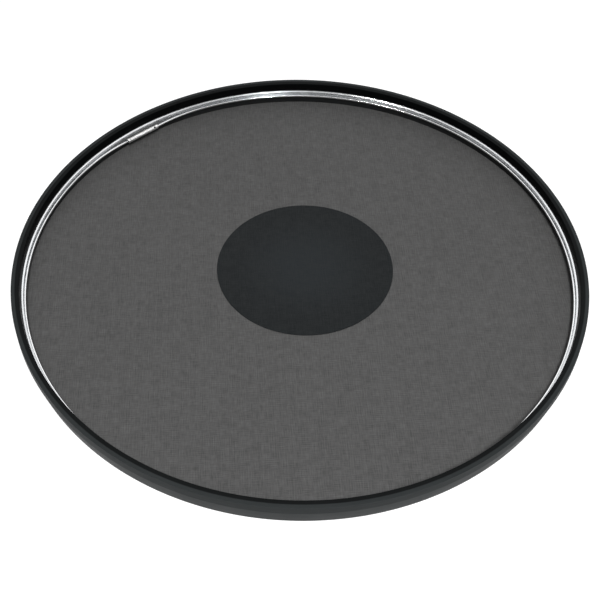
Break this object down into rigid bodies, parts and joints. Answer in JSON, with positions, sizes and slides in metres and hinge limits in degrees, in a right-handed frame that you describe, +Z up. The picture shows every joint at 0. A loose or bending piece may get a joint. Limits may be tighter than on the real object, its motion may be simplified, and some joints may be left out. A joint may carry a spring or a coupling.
{
  "type": "drum practice pad",
  "caption": "Round drum practice pad: woven mesh stretched across a black rim, with a round impact patch and a metal band, rod and turning barrel that tension it.",
  "frame": {"origin": "centre of the rim, on the plane that the rim rests on", "axes": "+Z up through the rim's open side; +X to the right in the usual view, which looks along +Y and down; the barrel lies at azimuth 131.6 degrees from +X"},
  "size_m": [0.606, 0.606, 0.029],
  "materials": {
    "rim_plastic": "black moulded plastic, semi-gloss",
    "hoop_plastic": "black moulded plastic, matt",
    "woven_mesh": "open polyester weave, dark grey",
    "patch_film": "thin blue-black film with the weave showing through",
    "polished_steel": "polished",
    "bright_rod": "bright drawn rod",
    "knurled_steel": "bright zinc plated, knurled"
  },
  "bodies": {
    "pad": {"rim": "rim_plastic", "mesh_hoop": "hoop_plastic", "playing_mesh": "woven_mesh", "impact_patch": "patch_film", "expansion_band": "polished_steel", "tension_rod": "bright_rod"},
    "barrel": {"tension_barrel": "knurled_steel"},
    "nut": {"lock_nut": "knurled_steel"}
  },
  "joints": [
    {"name": "barrel_turn", "type": "hinge", "parent": "pad", "child": "barrel", "pos_m": [-0.19061, 0.21469, 0.0134], "axis": [0.7478, 0.6639, 0], "range_deg": [-810, 1890]},
    {"name": "nut_turn", "type": "hinge", "parent": "pad", "child": "nut", "pos_m": [-0.20684, 0.20029, 0.0134], "axis": [-0.7478, -0.6639, 0], "range_deg": [0, 510]}
  ]
}
